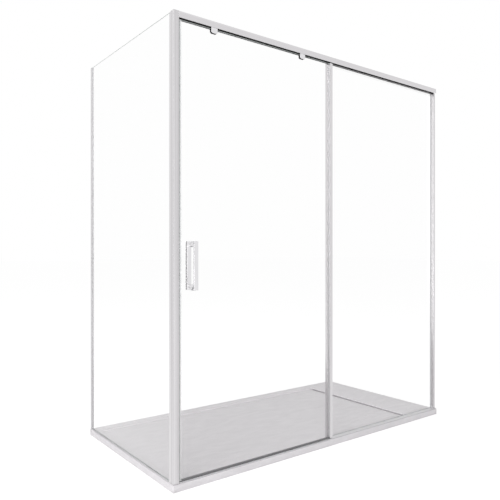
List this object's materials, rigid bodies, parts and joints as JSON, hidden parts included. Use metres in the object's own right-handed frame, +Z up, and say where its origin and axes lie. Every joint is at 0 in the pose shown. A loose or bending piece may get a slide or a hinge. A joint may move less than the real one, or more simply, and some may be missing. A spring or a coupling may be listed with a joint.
{
  "type": "shower enclosure with sliding door",
  "caption": "Corner shower enclosure: low tray, glass side pane, fixed front pane and a glass door that slides on rollers in the top rail.",
  "frame": {"origin": "centre of the tray's underside, on the floor", "axes": "+X along the front from the open corner to the side wall, +Y from the front to the back wall, +Z up; the front faces -Y"},
  "size_m": [1.8, 0.948, 1.956],
  "materials": {
    "mineral_resin": "matt white gel coat with a fine grain",
    "polished_aluminium": "bright polished and anodised",
    "satin_aluminium": "etched and anodised",
    "chrome_plate": "polished",
    "black_zinc": "die-cast, black powder coat",
    "clear_glass": "clear, polished edges",
    "clear_pvc": "soft and translucent",
    "magnet_strip": "pale grey, smooth",
    "smoke_pvc": "extruded, smoke grey",
    "dark_seal": "matt",
    "black_acetal": "moulded, slightly waxy",
    "white_acetal": "moulded, slightly waxy",
    "waste_abs": "moulded grey",
    "stainless_steel": "turned and brushed"
  },
  "bodies": {
    "enclosure": {"tray": "mineral_resin", "sill": "satin_aluminium", "side_sill": "satin_aluminium", "corner_post": "polished_aluminium", "post_cap": "polished_aluminium", "top_rail": "polished_aluminium", "side_wall_profile": "polished_aluminium", "front_wall_profile": "polished_aluminium", "wall_profile_cover": "polished_aluminium", "fixed_edge_profile": "polished_aluminium", "rail_wall_bracket": "polished_aluminium", "side_glass": "clear_glass", "fixed_glass": "clear_glass", "side_glass_gaskets": "clear_pvc", "fixed_glass_gaskets": "clear_pvc", "interlock_seal": "clear_pvc", "post_magnet_strip": "magnet_strip", "rail_glass_gaskets": "dark_seal", "stop_bumpers": "dark_seal", "track_liner": "black_acetal", "stop_left": "black_acetal", "stop_right": "black_acetal", "rail_post_bracket": "black_acetal", "glass_setting_blocks": "white_acetal", "door_guide": "white_acetal", "waste_flange": "waste_abs", "waste_strainer": "stainless_steel", "stop_screws": "stainless_steel", "rail_bracket_screws": "stainless_steel", "guide_screws": "stainless_steel"},
    "drain_cover": {"drain_cover": "mineral_resin"},
    "door": {"door_glass": "clear_glass", "door_magnet_seal": "clear_pvc", "door_bottom_seal": "smoke_pvc", "door_edge_profile": "polished_aluminium", "door_edge_gaskets": "clear_pvc", "hanger_left": "black_zinc", "hanger_right": "black_zinc", "hanger_cover_left": "chrome_plate", "hanger_cover_right": "chrome_plate", "hanger_clamp_left": "black_zinc", "hanger_clamp_right": "black_zinc", "hanger_pads": "dark_seal", "hanger_bushes": "white_acetal", "hanger_screws": "stainless_steel", "roller_axles": "stainless_steel", "handle_grip": "chrome_plate", "handle_inner_plate": "chrome_plate", "handle_bushes": "white_acetal", "handle_screws": "stainless_steel", "handle_grub_screws": "stainless_steel"},
    "roller_left_1": {"roller_left_1": "white_acetal", "bearing_left_1": "stainless_steel"},
    "roller_left_2": {"roller_left_2": "white_acetal", "bearing_left_2": "stainless_steel"},
    "roller_right_1": {"roller_right_1": "white_acetal", "bearing_right_1": "stainless_steel"},
    "roller_right_2": {"roller_right_2": "white_acetal", "bearing_right_2": "stainless_steel"}
  },
  "joints": [
    {"name": "door_slide", "type": "slide", "parent": "enclosure", "child": "door", "axis": [1, 0, 0], "range_m": [0, 0.8]},
    {"name": "drain_cover_lift", "type": "slide", "parent": "enclosure", "child": "drain_cover", "axis": [0, 0, 1], "range_m": [0, 0.12]},
    {"name": "roller_left_1_spin", "type": "hinge", "parent": "door", "child": "roller_left_1", "pos_m": [-0.716, -0.4277, 1.9433], "axis": [0, 1, 0], "continuous": true},
    {"name": "roller_left_2_spin", "type": "hinge", "parent": "door", "child": "roller_left_2", "pos_m": [-0.676, -0.4277, 1.9433], "axis": [0, 1, 0], "continuous": true},
    {"name": "roller_right_1_spin", "type": "hinge", "parent": "door", "child": "roller_right_1", "pos_m": [-0.207, -0.4277, 1.9433], "axis": [0, 1, 0], "continuous": true},
    {"name": "roller_right_2_spin", "type": "hinge", "parent": "door", "child": "roller_right_2", "pos_m": [-0.167, -0.4277, 1.9433], "axis": [0, 1, 0], "continuous": true}
  ],
  "couplings": [
    {"joint": "roller_left_1_spin", "follows": "door_slide", "rad_per_m": 133.33},
    {"joint": "roller_left_2_spin", "follows": "door_slide", "rad_per_m": 133.33},
    {"joint": "roller_right_1_spin", "follows": "door_slide", "rad_per_m": 133.33},
    {"joint": "roller_right_2_spin", "follows": "door_slide", "rad_per_m": 133.33}
  ]
}
